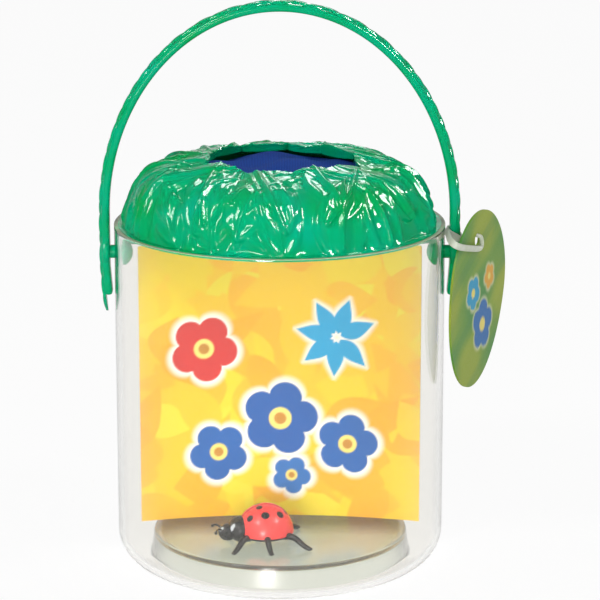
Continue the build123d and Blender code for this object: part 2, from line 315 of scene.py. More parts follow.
def inkMaterial(name, roughness, grain, height, shine=0.5):  # takes its colours from the piece's own paint
    material, inkTree, inkShader = startMaterial(name, {"IOR": 1.46, "Specular IOR Level": shine})
    ink = addNode(inkTree, "ShaderNodeVertexColor", {"layer_name": "ink"})
    inkTree.links.new(ink.outputs[0], inkShader.inputs["Base Color"])
    where = addNode(inkTree, "ShaderNodeTexCoord")
    tooth = addNode(
        inkTree, "ShaderNodeTexNoise", {"Scale": 1 / (grain * mm)}, {"Vector": where.outputs["Object"]}
    )
    sheen = addNode(
        inkTree,
        "ShaderNodeMapRange",
        {**noiseSpan, "To Min": roughness - 0.05, "To Max": roughness + 0.05},
        {"Value": tooth.outputs[0]},
    )
    inkTree.links.new(sheen.outputs[0], inkShader.inputs["Roughness"])
    bump = addNode(
        inkTree, "ShaderNodeBump", {"Strength": 0.3, "Distance": height * mm}, {"Height": tooth.outputs[0]}
    )
    inkTree.links.new(bump.outputs[0], inkShader.inputs["Normal"])
    return material


# Coated board: a satin print with a fine paper tooth on the card, a glossier one on the tag
printedCard = inkMaterial("printedCard", 0.5, 0.8, 0.02, 0.3)
printedTag = inkMaterial("printedTag", 0.38, 0.8, 0.02, 0.25)
# Moulded vinyl, hand-painted and satin, as on small toy figures
paintedVinyl = inkMaterial("paintedVinyl", 0.3, 1.0, 0.02)

glossy = bpy.data.collections.new("glossyPieces")  # what the glint lamps light
print("materials made")

# Jar: sizes in millimetres, as in the part's source
jarShape = {
    "radius": 57, "height": 120, "wall": 2, "corner": 11, "foot": 46, "floor": 10.5, "floorRadius": 44.5,
    "rimRound": 0.2, "litLineFrom": 119.5, "hole": 2.36, "holeHeight": 109.5, "segments": 256,
}


def drillHole(jar, side):  # a hole for a rivet, on the right (1) or the left (-1)
    s = jarShape
    ring = [(s["hole"] * math.cos(t), s["holeHeight"] + s["hole"] * math.sin(t)) for t in roundTurns(32)]
    points = [(side * x, y, z) for x in (50, 60) for y, z in ring]
    drill = bpy.data.meshes.new("drill")
    drill.from_pydata((np.array(points) * mm).tolist(), [], tubeFaces(2, 32))
    cutter = bpy.data.objects.new("drill", drill)
    scene.collection.objects.link(cutter)
    cut = jar.modifiers.new("hole", "BOOLEAN")
    cut.object = cutter
    cut.solver = "EXACT"
    keepResult(jar)
    bpy.data.objects.remove(cutter)


def makeJar():
    s = jarShape
    bore = s["radius"] - s["wall"]
    under = s["floor"] - s["wall"]
    straight = np.linspace(20, s["height"] - 1.4, 12)
    lip, lipRound = s["height"] - s["rimRound"], s["rimRound"]
    # Under the floor, and down the inside of the ring that the jar stands on
    profile = [(0, under), (20, under)] + arcPoints((41.7, under - 0.8), 0.8, 90, 5, 5)
    profile += arcPoints((44.0, 0.4), 0.4, 185, 270, 4) + [(45, 0)]
    # Round the foot, up the wall, over the rim and down the bore
    profile += arcPoints((s["foot"], s["corner"]), s["corner"], -90, 0, 26)
    profile += [(s["radius"], z) for z in straight]
    profile += arcPoints((s["radius"] - lipRound, lip), lipRound, 0, 90, 4)
    profile += arcPoints((bore + lipRound, lip), lipRound, 90, 180, 4)
    profile += [(bore, z) for z in straight[::-1]]
    profile += arcPoints((s["foot"], s["corner"]), s["corner"] - s["wall"], 0, -90, 22)
    # Up the side of the raised floor and in to the axis
    profile += arcPoints((46.2, 2.6), 0.6, -90, -172, 4)
    profile += arcPoints((s["floorRadius"] - 1, s["floor"] - 1), 1.0, 8, 90, 7)
    profile += [(30, s["floor"]), (0, s["floor"])]
    points, faces = revolve(profile, s["segments"])
    jar = newPiece("jarClear", points, faces, clearStyrene, "jar", ["jar"])
    drillHole(jar, 1)
    drillHole(jar, -1)
    # The rim's top band takes the pale lime tint: a painted lit line
    jar.data.materials.append(rimLitLineStyrene)
    for face in jar.data.polygons:
        face.material_index = int(face.center.z > s["litLineFrom"] * mm)
    jar.visible_shadow = False  # the wall is thin and clear, so lamps reach what stands inside


makeJar()
print("jar made")

# Lid: leaves that overlap on a dome, one height for each place on it
lidShape = {
    "columns": 720, "rows": 116, "seed": 31,
    "bed": 16, "middle": 11, "crown": 12, "skirt": 15,  # how many leaves in each layer, from the lowest up
    "puff": 2.0, "rib": 1.2, "ribWidth": 0.68, "edge": 1.15, "soften": 1, "broaden": 8,
    "window": 29.2, "tips": (22.8, 25.6), "wallEnd": 139.8, "lowest": 120.25,
    "dome": [  # three curves from the rim up to the window, as radius and height
        ((53.8, 120.2), (52.4, 124.6), (50.8, 130.4), (47.4, 134.9)),
        ((47.4, 134.9), (45.6, 137.3), (42.9, 139.2), (36.5, 140.2)),
        ((36.5, 140.2), (32.5, 140.83), (28.5, 141.8), (21, 143.4)),
    ],
    "brim": [(55.5, 120.0), (55.7, 120.05), (55.7, 120.2)],
    "inside": [  # the seat of the mesh, the hollow under the dome and the plug in the jar's rim
        (35.5, 137.6), (35.5, 134.17), (37.5, 134.17), (37.5, 137.2), (41, 135.8), (44.4, 132.2),
        (48.0, 126.6), (51.2, 121), (53, 118.8), (54.8, 118.8), (54.8, 120),
    ],
}


def bezier(a, b, c, d, count):
    t = np.linspace(0, 1, count)[:, None]
    a, b, c, d = (np.array(p, float) for p in (a, b, c, d))
    return (1 - t) ** 3 * a + 3 * (1 - t) ** 2 * t * b + 3 * (1 - t) * t * t * c + t ** 3 * d


def domeProfile(count):  # radius and height from the rim up to the window, evenly spaced
    side, shoulder, crown = lidShape["dome"]
    line = np.vstack([bezier(*side, 200), bezier(*shoulder, 200)[1:], bezier(*crown, 100)[1:]])
    return spaceEvenly(line, count)


def turnFrom(start, turn):  # the shorter way round
    return (turn - start + math.pi) % (2 * math.pi) - math.pi


def evenRound(height):  # evens each place with those to its left and right
    return (np.roll(height, 1, 1) + 2 * height + np.roll(height, -1, 1)) / 4


def strewLeaves(reach):  # where each leaf of the lid lies, and the tips that make the window's edge
    s = lidShape
    pick = np.random.default_rng(s["seed"])
    leaves, tips = [], []

    def addLeaf(start, low, lean, length, width, layer):
        leaves.append({
            "start": start, "low": low, "lean": lean, "length": length, "width": width, "layer": layer,
            "bend": pick.uniform(-3.2, 3.2), "tilt": pick.uniform(-0.45, 0.45),
            "pleated": pick.random() < 0.6, "pleats": pick.uniform(1.0, 1.7), "depth": pick.uniform(0.5, 0.8),
            "sweep": pick.uniform(0.9, 1.8), "spacing": pick.uniform(8.0, 11.0),
        })

    def around(i, count, stray):
        return 2 * math.pi * (i + pick.uniform(-stray, stray)) / count

    for i in range(s["bed"]):  # a bed of wide leaves, so that no bare dome shows
        addLeaf(around(i, s["bed"], 0.3), pick.uniform(-10, 14), pick.uniform(-0.5, 0.5), 38, 13, -1.0)
    for i in range(s["bed"]):
        addLeaf(around(i, s["bed"], 0.3), pick.uniform(12, 18), pick.uniform(-0.4, 0.4), 38, 9, -0.9)
    for i in range(s["middle"]):  # middle leaves, half hidden
        addLeaf(
            around(i, s["middle"], 0.3), pick.uniform(4, 10), pick.uniform(-0.8, 0.8),
            reach * pick.uniform(0.7, 0.95), pick.uniform(8, 11), pick.uniform(-0.4, 0.1),
        )
    for i in range(s["crown"]):  # long leaves, whose tips make the window's edge
        start, lean = around(i, s["crown"], 0.22), pick.uniform(-0.4, 0.4)
        addLeaf(
            start, pick.uniform(6, 15), lean, reach * pick.uniform(0.8, 1.0), pick.uniform(8, 10.5),
            pick.uniform(-0.1, 0.35),
        )
        tips.append({
            "turn": start + lean * 0.75, "radius": pick.uniform(*s["tips"]), "wide": pick.uniform(0.25, 0.37),
            "lift": pick.uniform(-0.3, 0.9),
        })
    for i in range(s["skirt"]):  # low leaves over the rest, lying this way and that
        addLeaf(
            around(i, s["skirt"], 0.35), pick.uniform(-9, -1), pick.uniform(-1.0, 1.0),
            pick.uniform(30, 40), pick.uniform(9, 12.5), pick.uniform(0.0, 0.45),
        )
    return leaves, tips


def leafHeight(across, along, leaf):  # a leaf's own height, and how far each place lies inside its edge
    s = lidShape
    t = np.clip(along / leaf["length"], 1e-4, 1 - 1e-4)
    across = across - leaf["bend"] * np.sin(np.pi * t)  # the rib is a gentle bow
    half = leaf["width"] * np.sin(np.pi * t ** 0.8) ** 0.75 * (1 - 0.3 * t) + 1e-6
    share = np.clip(across / half, -1, 1)
    inside = half - np.abs(across)
    inside = np.where((along > 0) & (along < leaf["length"]), inside, -1.0)
    body = s["puff"] * (1 - share ** 2) ** 0.6 + leaf["tilt"] * share
    rib = s["rib"] * np.exp(-((across / s["ribWidth"]) ** 2)) - 0.55 * np.exp(-((across / 2.4) ** 2))
    if leaf["pleated"]:  # long pleats that run from stalk to tip
        veins = leaf["depth"] * np.cos(2 * np.pi * leaf["pleats"] * share) * (1 - share ** 6)
    else:  # side veins that sweep forward from the rib
        wave = np.cos(2 * np.pi * (along - leaf["sweep"] * np.abs(across)) / leaf["spacing"])
        veins = leaf["depth"] * wave * np.clip(np.abs(share) * 4, 0, 1) * (1 - share ** 4)
    return body + rib + veins, inside


def leafRelief(turn, up, radius, reach, leaves):  # the height of the leaves at each place on the dome
    s = lidShape
    height = np.full(turn.shape, -1.2)
    for leaf in leaves:
        side = turnFrom(leaf["start"], turn) * radius
        rise = up - leaf["low"]
        across = side * math.cos(leaf["lean"]) - rise * math.sin(leaf["lean"])
        along = side * math.sin(leaf["lean"]) + rise * math.cos(leaf["lean"])
        own, inside = leafHeight(across, along, leaf)
        room = np.clip(1 - height / 1.8, 0.2, 1)  # a leaf on top of others adds less
        lifted = np.maximum(height + s["edge"] * softStep(inside, 0, 0.5) * room, own + leaf["layer"])
        height = np.where(inside > 0, lifted, height)
    for _ in range(s["soften"]):  # moulded edges are a little rounded
        height = evenRound(height)
        height[1:-1] = (height[:-2] + 2 * height[1:-1] + height[2:]) / 4
    broad = height
    for _ in range(s["broaden"]):  # near the window the leaves are broad and smooth
        broad = evenRound(broad)
    height = height + (broad - height) * 0.85 * softStep(up, reach * 0.5, reach * 0.75)
    height = (height - height.mean()) * (0.25 + 0.75 * softStep(up, -0.2, 2.0))
    lowest = -1.8 + 1.2 * softStep(up, reach * 0.45, reach * 0.8)
    height = lowest + 0.5 * np.log1p(np.exp((height - lowest) / 0.5))  # shallower hollows near the window
    return height * (1 - 0.5 * softStep(up, reach * 0.75, reach))  # the window's edge is smoother


def windowEdge(turns, tips):  # how far out the window's edge lies, and how the leaf tips curl there
    window = lidShape["window"]
    edge = np.full(turns.shape, float(window))
    curl = np.zeros(turns.shape)
    for tip in tips:
        lobe = np.clip(1 - (turnFrom(tip["turn"], turns) / tip["wide"]) ** 2, 0, 1)
        near = tip["radius"] + (window - tip["radius"]) * (1 - np.sqrt(lobe))
        curl = np.where(near < edge, tip["lift"] * lobe, curl)
        edge = np.minimum(edge, near)
    return edge, curl


def makeLid():
    s = lidShape
    profile, run = domeProfile(s["rows"])
    turns = roundTurns(s["columns"])
    turn, up = np.meshgrid(turns, run)
    radius = profile[:, :1] + 0 * turn
    reach = run[-1]
    leaves, tips = strewLeaves(reach)
    height = leafRelief(turn, up, radius, reach, leaves)
    edge, curl = windowEdge(turns, tips)
    # The rows from the crown inwards are drawn to the window's edge
    turnIn = reach * 0.6
    stretch = np.clip((up - turnIn) / (reach - turnIn), 0, 1)
    startRadius = np.interp(turnIn, run, profile[:, 0])
    planRadius = np.where(stretch > 0, startRadius + (edge[None, :] - startRadius) * stretch, radius)
    dome = np.where(stretch > 0, np.interp(-planRadius, -profile[:, 0], profile[:, 1]), profile[:, 1:])
    slope = np.gradient(profile, axis=0)
    normal = np.stack([slope[:, 1], -slope[:, 0]], 1)
    normal /= np.linalg.norm(normal, axis=1)[:, None]
    outR = planRadius + normal[:, :1] * height * (1 - 0.8 * stretch ** 4)
    outZ = dome + normal[:, 1:] * height + curl[None, :] * softStep(stretch, 0.2, 1.0)
    flat = np.ones(s["columns"])
    rings = [(flat * r, flat * z) for r, z in s["brim"]]
    rings += [(outR[i], np.maximum(outZ[i], s["lowest"])) for i in range(s["rows"])]
    edgeR, edgeZ = rings[-1]
    rings.append((edgeR - 0.2, edgeZ - 0.4))
    for share in (0.35, 0.7, 1.0):
        rings.append((edgeR + 0.3 * share, edgeZ + (s["wallEnd"] - edgeZ) * share))
    rings += [(flat * r, flat * z) for r, z in s["inside"]]
    points = [
        (r[j] * math.cos(turns[j]), r[j] * math.sin(turns[j]), z[j])
        for r, z in rings for j in range(s["columns"])
    ]
    faces = gridFaces(len(rings), s["columns"], wrapRows=True)
    lid = newPiece("leafLid", points, faces, greenPolypropylene, "lid", ["lid"], smoothAngle=50)
    glossy.objects.link(lid)


makeLid()
print("lid made")

# Mesh: a disc of cloth clamped at its edge, pushed up a little in the middle
clothShape = {
    "radius": 37.4, "clamp": 34.5, "level": 133.87, "swell": 5.5, "thickness": 0.4,
    "rings": 40, "columns": 144,
}


def makeCloth():
    s = clothShape
    points = []
    for r in np.linspace(0, s["radius"], s["rings"] + 1)[1:]:
        rise = max(0, 1 - (r / s["clamp"]) ** 6)
        for t in roundTurns(s["columns"]):
            x, y = r * math.cos(t), r * math.sin(t)
            ripple = rise * (math.sin(0.21 * x + 0.12 * y) + 0.5 * math.sin(0.33 * y - 0.2 * x + 1.0))
            points.append((x, y, s["level"] + s["swell"] * rise + ripple))
    middle = len(points)
    points.append((0, 0, s["level"] + s["swell"] + 0.5 * math.sin(1.0)))
    faces = gridFaces(s["rings"], s["columns"], flip=True)
    faces += [(middle, j, (j + 1) % s["columns"]) for j in range(s["columns"])]
    cloth = newPiece("windowMesh", points, faces, meshPolyester, "lid", ["mesh_panel"])
    wall = cloth.modifiers.new("thickness", "SOLIDIFY")
    wall.thickness = s["thickness"] * mm
    wall.offset = 0


makeCloth()
print("mesh window made")

# Bail: one smooth bow with a band of leaves along its outside
bailShape = {
    "middle": 59.9, "archZ": 122.7, "archRise": 71.6, "pivotZ": 109.5, "tabEnd": 94.1, "tabRound": 1.6,
    "thick": 2.9, "width": 6.3, "boss": 4.7, "square": 0.55,
    "leafLength": 9.5, "leafWidth": 2.3, "leafThick": 1.05, "leafBack": 0.35, "leafGroove": 0.3,
    "leafSpacing": 5.4, "leafTilt": 0.36,
}


def bailPath(count, outset=0.0):  # the line along the bow's middle, or one further out
    s = bailShape
    side, rise = s["middle"] + outset, s["archRise"] + outset
    right = [(side - 0.8, s["tabEnd"]), (side, s["pivotZ"] - 5), (side, s["pivotZ"])]
    arch = [(side * math.cos(a), s["archZ"] + rise * math.sin(a)) for a in np.linspace(0, math.pi, 241)]
    left = [(-x, z) for x, z in reversed(right)]
    return spaceEvenly(np.array(right + arch + left), count)


def bailLeaf(material):  # one leaf, pointing along X with its face up Z
    s = bailShape
    rows, columns = 9, 7
    points = []
    for upper in (True, False):
        for i in range(rows):
            t = i / (rows - 1)
            half = s["leafWidth"] * math.sin(math.pi * min(0.97, max(0.04, t)) ** 0.8) * (1 - 0.25 * t)
            swell = s["leafThick"] * math.sin(math.pi * min(0.95, max(0.08, t))) ** 0.5
            for j in range(columns):
                v = 2 * j / (columns - 1) - 1
                groove = s["leafGroove"] if j == columns // 2 else 0.0
                rise = swell * (1 - v * v) ** 0.5 - groove if upper else -s["leafBack"]
                points.append((s["leafLength"] * (t - 0.3), half * v, rise))
    count = rows * columns
    top = gridFaces(rows, columns, wrapColumns=False, flip=True)
    faces = top + shifted([f[::-1] for f in top], count)
    index = np.arange(count).reshape(rows, columns)
    rim = np.concatenate([index[0], index[1:, -1], index[-1, -2::-1], index[-2:0:-1, 0]]).tolist()
    faces += [(a, b, b + count, a + count) for a, b in zip(rim, rim[1:] + rim[:1])]
    mesh = bpy.data.meshes.new("bailLeaf")
    mesh.from_pydata((np.array(points) * mm).tolist(), [], faces)
    mesh.shade_smooth()
    mesh.materials.append(material)
    return bpy.data.objects.new("bailLeaf", mesh)


def leafBandTree(material):  # leaves set along a line, tipped to either side in turn
    tree = bpy.data.node_groups.new("leafBand", "GeometryNodeTree")
    for name, kind in (("Geometry", "Geometry"), ("Leaf", "Object"), ("Spacing", "Float"), ("Tilt", "Float")):
        tree.interface.new_socket(name, in_out="INPUT", socket_type="NodeSocket" + kind)
    tree.interface.new_socket("Geometry", in_out="OUTPUT", socket_type="NodeSocketGeometry")
    given = addNode(tree, "NodeGroupInput")
    curve = addNode(tree, "GeometryNodeMeshToCurve", None, {"Mesh": given.outputs["Geometry"]})
    steps = addNode(
        tree, "GeometryNodeResampleCurve", {"mode": "LENGTH"},
        {"Curve": curve.outputs[0], "Length": given.outputs["Spacing"]},
    )
    ahead = addNode(tree, "GeometryNodeInputTangent")
    across = addNode(
        tree, "ShaderNodeVectorMath", {"operation": "CROSS_PRODUCT", 1: (0, 1, 0)}, {0: ahead.outputs[0]}
    )
    outwards = addNode(
        tree, "ShaderNodeVectorMath", {"operation": "SCALE", "Scale": -1.0}, {0: across.outputs[0]}
    )
    pointing = addNode(tree, "FunctionNodeAlignRotationToVector", {"axis": "X"}, {"Vector": ahead.outputs[0]})
    facing = addNode(
        tree, "FunctionNodeAlignRotationToVector", {"axis": "Z", "pivot_axis": "X"},
        {"Rotation": pointing.outputs[0], "Vector": outwards.outputs[0]},
    )
    index = addNode(tree, "GeometryNodeInputIndex")
    odd = addNode(tree, "ShaderNodeMath", {"operation": "MODULO", 1: 2.0}, {0: index.outputs[0]})
    hand = addNode(
        tree, "ShaderNodeMath", {"operation": "MULTIPLY_ADD", 1: 2.0, 2: -1.0}, {0: odd.outputs[0]}
    )
    tip = addNode(
        tree, "ShaderNodeMath", {"operation": "MULTIPLY"}, {0: hand.outputs[0], 1: given.outputs["Tilt"]}
    )
    tipping = addNode(tree, "FunctionNodeAxisAngleToRotation", {"Axis": (0, 0, 1)}, {"Angle": tip.outputs[0]})
    turned = addNode(
        tree, "FunctionNodeRotateRotation", {"rotation_space": "LOCAL"},
        {"Rotation": facing.outputs[0], "Rotate By": tipping.outputs[0]},
    )
    leaf = addNode(tree, "GeometryNodeObjectInfo", None, {"Object": given.outputs["Leaf"]})
    placed = addNode(
        tree, "GeometryNodeInstanceOnPoints", None,
        {"Points": steps.outputs[0], "Instance": leaf.outputs["Geometry"], "Rotation": turned.outputs[0]},
    )
    real = addNode(tree, "GeometryNodeRealizeInstances", None, {"Geometry": placed.outputs[0]})
    coloured = addNode(tree, "GeometryNodeSetMaterial", {"Material": material}, {"Geometry": real.outputs[0]})
    addNode(tree, "NodeGroupOutput", None, {"Geometry": coloured.outputs[0]})
    return tree


def setInputs(modifier, values):  # inputs by their names, through the sockets' identifiers
    for item in modifier.node_group.interface.items_tree:
        if item.item_type == "SOCKET" and item.in_out == "INPUT" and item.name in values:
            modifier[item.identifier] = values[item.name]


def makeBail():
    s = bailShape
    path, run = bailPath(420)
    ahead = np.gradient(path, axis=0)
    ahead /= np.linalg.norm(ahead, axis=1)[:, None]
    out = np.stack([ahead[:, 1], -ahead[:, 0]], 1)
    section = roundTurns(28)
    outShares, sideShares = squarish(np.cos(section), s["square"]), squarish(np.sin(section), s["square"])
    points = []
    for (x, z), (outX, outZ), at in zip(path, out, run):
        fromEnd = min(at, run[-1] - at)
        tip = math.sqrt(max(0.02, 1 - max(0, 1 - fromEnd / s["tabRound"]) ** 2))
        swell = max(0, 1 - ((z - s["pivotZ"]) / s["boss"]) ** 2) ** 0.5  # boss round the rivet
        half = max(s["width"] / 2, s["boss"] * swell) * tip
        for outShare, sideShare in zip(outShares, sideShares):
            far = s["thick"] / 2 * tip * outShare
            points.append((x + outX * far, half * sideShare, z + outZ * far))
    faces = tubeFaces(len(path), len(section))
    bail = newPiece("bail", points, faces, greenPolypropylene, "handle", ["handle"], smoothAngle=60)
    glossy.objects.link(bail)

    line, run = bailPath(300, s["thick"] / 2 - 0.1)
    line = line[run > 4]  # the band of leaves starts above the tab's end
    host = bpy.data.meshes.new("bailLeaves")
    host.from_pydata([(x * mm, 0, z * mm) for x, z in line], [(i, i + 1) for i in range(len(line) - 1)], [])
    leaves = bpy.data.objects.new("bailLeaves", host)
    scene.collection.objects.link(leaves)
    band = leaves.modifiers.new("leafBand", "NODES")
    band.node_group = leafBandTree(greenPolypropylene)
    leaf = bailLeaf(greenPolypropylene)
    setInputs(band, {"Leaf": leaf, "Spacing": s["leafSpacing"] * mm, "Tilt": s["leafTilt"]})
    keepResult(leaves)
    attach(leaves, "handle")
    glossy.objects.link(leaves)


makeBail()
print("bail made")

for node in ("mesh_ring", "left_pivot_rivet", "right_pivot_rivet"):  # shown as the source makes them
    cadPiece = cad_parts[node]
    cadPiece.data.materials.clear()
    cadPiece.data.materials.append(greenPolypropylene)

# Strap: a flat moulded band from its eye round the bail's leg to the hook in the tag's hole
strapShape = {
    "height": 2.4, "thick": 0.7, "slope": 29, "leg": (59.9, 115.8), "eye": (2.25, 3.9), "eyeSteps": 48,
    "hook": 0.7, "bulb": 1.2, "columns": 20, "square": 0.6,
    "plan": [
        (57.65, 0.6), (57.65, -4.2), (57.7, -12), (58.2, -17.6), (60.6, -18.9), (64.6, -11.5), (69.2, -1.2),
    ],
    "tip": [(69.9, 0.3, 110.9), (69.7, -0.3, 114.6), (68.6, -0.35, 115.2), (66.4, 0.65, 115.2)],
}


def bowed(path, count):  # a smooth line past a few points
    path = np.asarray(path, float)
    for _ in range(count):
        cut = [path[0]]
        for a, b in zip(path, path[1:]):
            cut += [a * 0.75 + b * 0.25, a * 0.25 + b * 0.75]
        path = np.array(cut + [path[-1]])
    return path


def sweepPoints(path, up, highs, wides, closed=False):  # a flat band carried along a line
    section = roundTurns(strapShape["columns"])
    highShare = squarish(np.cos(section), strapShape["square"])
    wideShare = squarish(np.sin(section), strapShape["square"])
    up = np.asarray(up, float)
    points = []
    for i, centre in enumerate(path):
        before = path[i - 1] if closed or i else path[0]
        after = path[(i + 1) % len(path)] if closed or i + 1 < len(path) else path[-1]
        ahead = (after - before) / np.linalg.norm(after - before)
        up = up - ahead * np.dot(up, ahead)
        up /= np.linalg.norm(up)
        side = np.cross(ahead, up)
        rim = np.outer(highShare, up) * highs[i] / 2 + np.outer(wideShare, side) * wides[i] / 2
        points.extend(centre + rim)
    return points


def makeStrap():
    s = strapShape
    slope = math.radians(s["slope"])
    normal = (math.sin(slope), 0, math.cos(slope))

    def onSlope(x, y):
        return x, y, s["leg"][1] - math.tan(slope) * (x - s["leg"][0])

    arm = bowed([onSlope(x, y) for x, y in s["plan"]] + s["tip"], 4)
    run = runAlong(arm)
    narrow = softStep(run[-1] - run, 5.5, 9.5)  # the band draws in to a peg before the hole
    peg = 2 * s["hook"] * 0.95
    points = sweepPoints(arm, normal, peg + (s["height"] - peg) * narrow, peg + (s["thick"] - peg) * narrow)
    faces = tubeFaces(len(arm), s["columns"])
    eye = np.array([
        onSlope(
            s["leg"][0] + s["eye"][0] * squarish(math.cos(t), 0.45), s["eye"][1] * squarish(math.sin(t), 0.45)
        )
        for t in roundTurns(s["eyeSteps"])
    ])
    faces += shifted(gridFaces(s["eyeSteps"], s["columns"], wrapRows=True), len(points))
    points += sweepPoints(eye, normal, [s["height"]] * len(eye), [s["thick"]] * len(eye), closed=True)
    bulbPoints, bulbFaces = makeBall(arm[-1], [s["bulb"]] * 3, 16, 24)
    faces += shifted(bulbFaces, len(points))
    points += list(bulbPoints)
    strap = newPiece("tagStrap", points, faces, milkyNylon, "handle", ["tag_strap"], smoothAngle=60)


makeStrap()
print("strap made")

# Card: board bowed across the jar, with a print of leaves in close yellows and a few flowers
cardShape = {
    "bend": 170, "back": 10.7, "half": 49.5, "height": 100, "low": 10.5, "thick": 0.6, "steps": 240,
    "seed": 5, "leaves": 150, "ground": "#f8c81c", "rear": "#f4ecd6",
    "tones": ("#f6d420", "#f9ba1c", "#f8c91e", "#f9b118", "#f4dc30"),
    "flowers": [  # centre, radius and colour
        ((-22, 24), 10.5, "#1a60ad"), ((0, 36), 13.5, "#155aa9"), ((24, 27), 11, "#1a60ad"),
        ((4, 15), 7, "#2a6fb8"), ((-27, 62), 12, "#d8322a"),
    ],
    "sprig": (20, 66), "sprigTurns": (0.4, 1.25, 2.1, 2.95, 3.8, 4.65, 5.5), "sprigColour": "#12a4d8",
}


def leafShare(x, y, centre, angle, length, width, soft):  # how much a flat leaf covers each place
    dx, dy = x - centre[0], y - centre[1]
    along = (dx * math.cos(angle) + dy * math.sin(angle)) / length + 0.5
    across = np.abs(-dx * math.sin(angle) + dy * math.cos(angle))
    t = np.clip(along, 0, 1)
    half = width * np.sin(np.pi * t ** 0.8) * (1 - 0.25 * t)
    return softStep(half - across, -soft, soft) * (along > 0) * (along < 1)


def blossomEdge(x, y, centre, radius, turn):  # how far inside a five-petalled outline, and from its middle
    dx, dy = x - centre[0], y - centre[1]
    far = np.hypot(dx, dy)
    petals = np.abs(np.cos(5 / 2 * (np.arctan2(dy, dx) - turn))) ** 0.7
    return radius * (0.72 + 0.28 * petals) - far, far


def cardPrint(x, y):
    s = cardShape
    pick = np.random.default_rng(s["seed"])
    colours = np.zeros(x.shape + (3,)) + np.array(linear(s["ground"])[:3])
    for _ in range(s["leaves"]):  # strewn all over, in five near yellows
        centre = pick.uniform((-54, -6), (54, 106))
        turn, length, width = pick.uniform(0, 6.28), pick.uniform(16, 32), pick.uniform(5.5, 9.5)
        share = leafShare(x, y, centre, turn, length, width, 0.15)
        colours = layOver(colours, share * pick.uniform(0.8, 1.0), s["tones"][int(pick.integers(5))])
    sprig = []
    for turn in s["sprigTurns"]:
        sprig.append(((s["sprig"][0] + 8 * math.cos(turn), s["sprig"][1] + 8 * math.sin(turn)), turn))
    halo = np.zeros(x.shape)  # a pale glow round each of them
    for centre, radius, _ in s["flowers"]:
        inside = blossomEdge(x, y, centre, radius, 0.4 + radius)[0]
        halo = np.maximum(halo, softStep(inside, -3.4, -0.2))
    for centre, turn in sprig:
        halo = np.maximum(halo, leafShare(x, y, centre, turn, 16, 5.2, 1.6))
    colours = layOver(colours, halo * 0.95, "#fffdf4")
    for centre, radius, tone in s["flowers"]:
        inside, far = blossomEdge(x, y, centre, radius, 0.4 + radius)
        colours = layOver(colours, softStep(inside, -0.25, 0.25), tone)
        colours = layOver(colours, softStep(radius * 0.3 - far, -0.25, 0.25), "#f7e27a")
        colours = layOver(colours, softStep(radius * 0.16 - far, -0.25, 0.25), "#c98a2a")
    for centre, turn in sprig:
        colours = layOver(colours, leafShare(x, y, centre, turn, 13, 3.4, 0.25), s["sprigColour"])
    return colours


def makeCard():
    s = cardShape
    steps = s["steps"]
    n = steps + 1
    halfTurn = math.asin(s["half"] / s["bend"])
    turns = np.linspace(-halfTurn, halfTurn, n)
    heights = np.linspace(0, s["height"], n)
    turn, high = np.meshgrid(turns, heights)
    centreY = s["back"] - s["bend"]
    front, back = s["bend"] - s["thick"] / 2, s["bend"] + s["thick"] / 2
    points = np.stack([front * np.sin(turn), centreY + front * np.cos(turn), s["low"] + high], -1)
    rear = [
        (back * math.sin(t), centreY + back * math.cos(t), s["low"] + h)
        for h in (0, s["height"]) for t in turns
    ]
    faces = gridFaces(n, n, wrapColumns=False)
    rearLow, rearHigh = n * n, n * n + n  # where the rear's two rows start
    top = (n - 1) * n  # and the front's top row
    for j in range(steps):
        faces.append((rearLow + j + 1, rearLow + j, rearHigh + j, rearHigh + j + 1))
        faces.append((rearLow + j, rearLow + j + 1, j + 1, j))
        faces.append((top + j, top + j + 1, rearHigh + j + 1, rearHigh + j))
    faces.append([rearLow] + [i * n for i in range(n)] + [rearHigh])
    faces.append([rearHigh + steps] + [i * n + steps for i in range(n - 1, -1, -1)] + [rearLow + steps])
    points = np.vstack([points.reshape(-1, 3), rear])
    card = newPiece("insertCard", points, faces, printedCard, "jar", ["insert_card"])
    colours = cardPrint(s["bend"] * turn, high)
    paint(card, np.vstack([colours.reshape(-1, 3), np.tile(linear(s["rear"])[:3], (2 * n, 1))]))


makeCard()
print("card made")

# Tag: an egg-shaped board on the strap's hook
tagShape = {
    "length": 62, "width": 50, "shift": 2.5, "upper": 26, "thick": 0.8, "lean": 16, "turn": 65,
    "hook": (67.8, 0, 115.2), "drop": 17.9, "hole": 2.25, "holeDrop": 1.45, "columns": 220, "rows": 70,
    "blossoms": [((6, -33), 9, "#2f6fae"), ((-3, -20), 6, "#2a9bc4"), ((12, -17), 4.5, "#e0a63a")],
}


